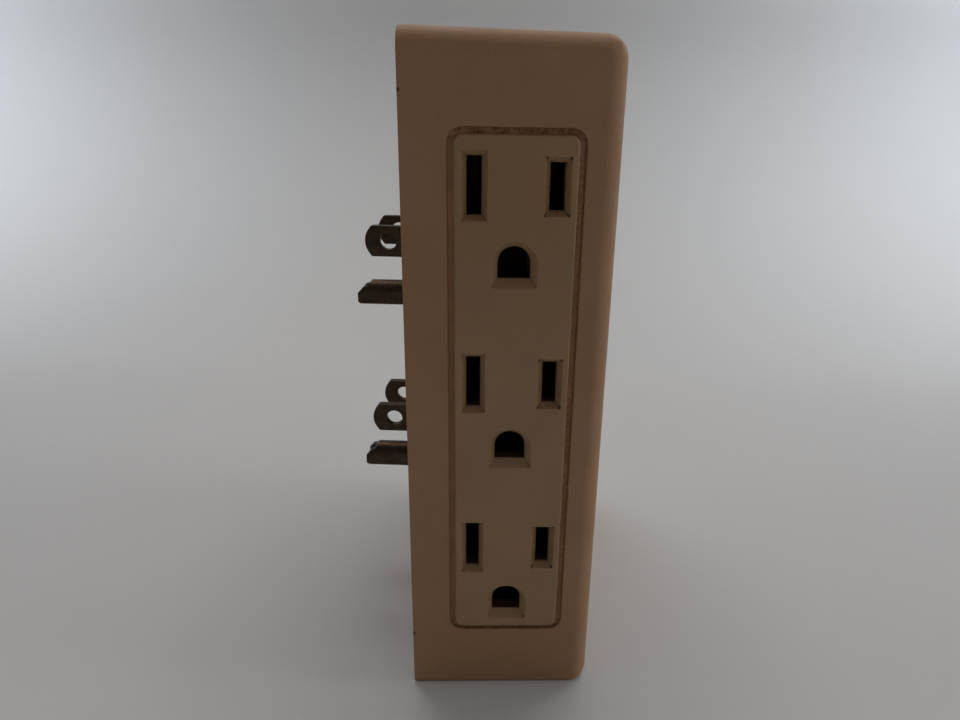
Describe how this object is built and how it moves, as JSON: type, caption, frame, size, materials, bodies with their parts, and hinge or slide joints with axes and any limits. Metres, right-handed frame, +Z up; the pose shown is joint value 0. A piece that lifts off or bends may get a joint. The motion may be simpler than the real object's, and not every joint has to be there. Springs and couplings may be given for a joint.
{
  "type": "plug-in outlet wall tap",
  "caption": "Box-shaped plug-in wall tap with a column of grounded outlets on each side face and grounded plugs on its back.",
  "frame": {"origin": "on the outer face of the back cover, midway across and midway up the body", "axes": "+Z up, +Y out of the back towards the wall, along the plug blades; +X to the right for someone who faces the wall"},
  "size_m": [0.0718, 0.0492, 0.1182],
  "materials": {
    "textured_shell": "fine spark-textured ivory moulding, aged",
    "outlet_face": "smooth satin ivory moulding, slightly greyer",
    "cover": "plain ivory moulding",
    "insulator": "plain off-white moulding",
    "contacts": "bright sheet brass",
    "blades": "tarnished brown brass",
    "fasteners": "zinc plated"
  },
  "bodies": {
    "root": {"housing": "textured_shell", "left_outlet_panel": "outlet_face", "right_outlet_panel": "outlet_face", "back_cover": "cover", "left_contact_carrier": "insulator", "right_contact_carrier": "insulator", "upper_blade_retainer": "insulator", "lower_blade_retainer": "insulator", "left_neutral_strip": "contacts", "left_hot_strip": "contacts", "left_ground_strip": "contacts", "right_neutral_strip": "contacts", "right_hot_strip": "contacts", "right_ground_strip": "contacts", "upper_neutral_blade": "blades", "upper_hot_blade": "blades", "upper_ground_pin": "blades", "lower_neutral_blade": "blades", "lower_hot_blade": "blades", "lower_ground_pin": "blades", "upper_neutral_rivet": "fasteners", "upper_hot_rivet": "fasteners", "upper_ground_rivet": "fasteners", "lower_neutral_rivet": "fasteners", "lower_hot_rivet": "fasteners", "lower_ground_rivet": "fasteners", "top_left_screw": "fasteners", "top_right_screw": "fasteners", "bottom_left_screw": "fasteners", "bottom_right_screw": "fasteners"}
  },
  "joints": []
}
